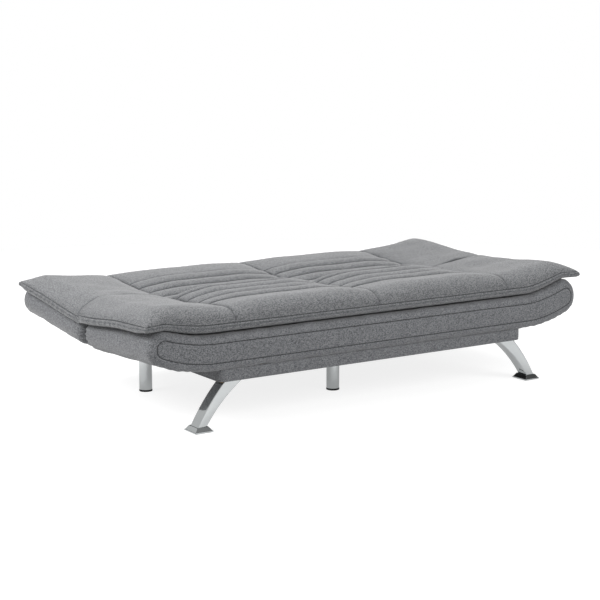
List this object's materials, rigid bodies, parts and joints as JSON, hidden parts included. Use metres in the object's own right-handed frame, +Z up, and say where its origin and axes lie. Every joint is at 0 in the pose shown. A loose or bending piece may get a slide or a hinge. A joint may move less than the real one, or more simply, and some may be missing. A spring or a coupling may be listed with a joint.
{
  "type": "click clack sofa bed",
  "caption": "Sofa bed lying flat: quilted pad on two tilting boat-shaped upholstered bodies, upholstered plinth, curved chrome front legs and round rear legs.",
  "frame": {"origin": "on the floor, in the middle of the bounding box", "axes": "+X along the length to the viewer's right, +Y from the seat's front edge to the back, +Z up"},
  "size_m": [1.96, 1.0743, 0.471],
  "materials": {
    "pad_fabric": "woven melange upholstery fabric, mid grey",
    "body_fabric": "woven melange upholstery fabric, mid grey",
    "piping_fabric": "fabric-covered piping cord",
    "foam": "open-cell upholstery foam",
    "dust_cloth": "non-woven black cloth",
    "chrome": "polished chrome",
    "black_plastic": "matt black",
    "plywood": "raw birch plywood",
    "pine": "planed pine",
    "spring_steel": "drawn spring wire",
    "mechanism_steel": "stamped and oiled steel"
  },
  "bodies": {
    "base": {"bracket_bolts": "mechanism_steel", "centre_leg": "chrome", "dust_cloth": "dust_cloth", "front_foot_glides": "black_plastic", "front_foot_left": "chrome", "front_foot_right": "chrome", "front_leg_left": "chrome", "front_leg_plates": "mechanism_steel", "front_leg_right": "chrome", "hinge_bracket_left": "mechanism_steel", "hinge_bracket_right": "mechanism_steel", "leg_blocks": "pine", "leg_screws": "mechanism_steel", "pivot_pin_left": "mechanism_steel", "pivot_pin_right": "mechanism_steel", "pivot_washers": "mechanism_steel", "plinth_centre_rail": "pine", "plinth_cover": "body_fabric", "plinth_end_rail_left": "pine", "plinth_end_rail_right": "pine", "plinth_front_rail": "pine", "plinth_rear_rail": "pine", "rear_leg_left": "chrome", "rear_leg_right": "chrome", "round_leg_caps": "black_plastic", "round_leg_plates": "mechanism_steel"},
    "seat": {"pawl_pins": "mechanism_steel", "pawl_springs": "spring_steel", "seat_arm_bolts": "mechanism_steel", "seat_arm_left": "mechanism_steel", "seat_arm_ribs": "pine", "seat_arm_right": "mechanism_steel", "seat_body_cover": "body_fabric", "seat_end_foam": "foam", "seat_end_ribs": "pine", "seat_foam_slab": "foam", "seat_inner_board": "plywood", "seat_middle_ribs": "pine", "seat_outer_board": "plywood", "seat_piping": "piping_fabric", "seat_quilted_pad": "pad_fabric", "seat_spring_clips": "spring_steel", "seat_springs": "spring_steel"},
    "back": {"back_arm_bolts": "mechanism_steel", "back_arm_left": "mechanism_steel", "back_arm_ribs": "pine", "back_arm_right": "mechanism_steel", "back_body_cover": "body_fabric", "back_end_foam": "foam", "back_end_ribs": "pine", "back_foam_slab": "foam", "back_inner_board": "plywood", "back_middle_ribs": "pine", "back_outer_board": "plywood", "back_piping": "piping_fabric", "back_quilted_pad": "pad_fabric", "back_spring_clips": "spring_steel", "back_springs": "spring_steel"},
    "pawl_left": {"pawl_left": "mechanism_steel"},
    "pawl_right": {"pawl_right": "mechanism_steel"}
  },
  "joints": [
    {"name": "seat_lift", "type": "hinge", "parent": "base", "child": "seat", "pos_m": [0, 0, 0.335], "axis": [-1, 0, 0], "range_deg": [0, 17]},
    {"name": "back_recline", "type": "hinge", "parent": "base", "child": "back", "pos_m": [0, 0, 0.335], "axis": [1, 0, 0], "range_deg": [0, 68]},
    {"name": "pawl_left_swing", "type": "hinge", "parent": "seat", "child": "pawl_left", "pos_m": [-0.6515, -0.01578, 0.27797], "axis": [1, 0, 0], "range_deg": [0, 10]},
    {"name": "pawl_right_swing", "type": "hinge", "parent": "seat", "child": "pawl_right", "pos_m": [0.6515, -0.01578, 0.27797], "axis": [1, 0, 0], "range_deg": [0, 10]}
  ],
  "couplings": [
    {"joint": "pawl_right_swing", "follows": "pawl_left_swing", "ratio": 1}
  ]
}
